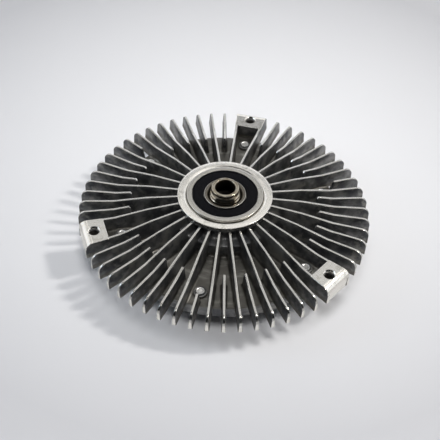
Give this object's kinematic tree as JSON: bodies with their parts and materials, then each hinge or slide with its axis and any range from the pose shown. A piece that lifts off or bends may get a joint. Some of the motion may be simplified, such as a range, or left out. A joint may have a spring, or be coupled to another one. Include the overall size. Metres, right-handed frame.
{
  "type": "viscous fan clutch",
  "caption": "Finned viscous coupling that drives an engine cooling fan: hollow shaft nose in a bearing hub, fan lugs on the rim, bimetal strip on the front.",
  "frame": {"origin": "on the clutch axis, in the plane of the front ribs' lower edges that the clutch rests on", "axes": "+Z along the clutch axis, from the bimetal strip to the shaft's nose; +Y from the axis to one fan lug"},
  "size_m": [0.18, 0.1796, 0.0465],
  "materials": {
    "cast_aluminium": "as cast, fin tops and lug tops machined",
    "turned_steel": "turned",
    "rotor_alloy": "turned",
    "bearing_steel": "ground",
    "cage_plastic": "moulded",
    "black_rubber": "moulded",
    "zinc_steel": "zinc plated",
    "sheet_steel": "rolled",
    "bimetal": "rolled"
  },
  "bodies": {
    "casing": {"finned_housing": "cast_aluminium", "front_cover": "cast_aluminium", "bearing_outer_ring": "bearing_steel", "rear_seal": "black_rubber", "front_seal": "black_rubber", "cover_screw_1": "zinc_steel", "cover_screw_2": "zinc_steel", "cover_screw_3": "zinc_steel", "cover_screw_4": "zinc_steel", "cover_screw_5": "zinc_steel", "cover_screw_6": "zinc_steel", "cover_sealing_ring": "black_rubber", "separator_plate": "sheet_steel", "valve_rivet": "sheet_steel", "pin_seal": "black_rubber"},
    "drive": {"shaft": "turned_steel", "rotor_disc": "rotor_alloy", "bearing_inner_ring": "bearing_steel"},
    "ball_set": {"bearing_cage": "cage_plastic", "ball_1": "bearing_steel", "ball_2": "bearing_steel", "ball_3": "bearing_steel", "ball_4": "bearing_steel", "ball_5": "bearing_steel", "ball_6": "bearing_steel", "ball_7": "bearing_steel", "ball_8": "bearing_steel"},
    "thermostat": {"bimetal_strip": "bimetal", "actuator_pin": "sheet_steel"},
    "valve": {"valve_leaf": "sheet_steel"}
  },
  "joints": [
    {"name": "shaft_spin", "type": "hinge", "parent": "casing", "child": "drive", "pos_m": [0, 0, 0.0342], "axis": [0, 0, 1], "continuous": true},
    {"name": "cage_spin", "type": "hinge", "parent": "casing", "child": "ball_set", "pos_m": [0, 0, 0.0342], "axis": [0, 0, 1], "continuous": true},
    {"name": "thermostat_slide", "type": "slide", "parent": "casing", "child": "thermostat", "axis": [0, 0, -1], "range_m": [0, 0.0008], "stiffness_N_per_m": 2000},
    {"name": "valve_tilt", "type": "hinge", "parent": "casing", "child": "valve", "pos_m": [-0.022, 0, 0.0099], "axis": [0, 1, 0], "range_deg": [0, 2.1]}
  ],
  "couplings": [
    {"joint": "cage_spin", "follows": "shaft_spin", "ratio": 0.3836},
    {"joint": "valve_tilt", "follows": "thermostat_slide", "rad_per_m": 45.455}
  ]
}
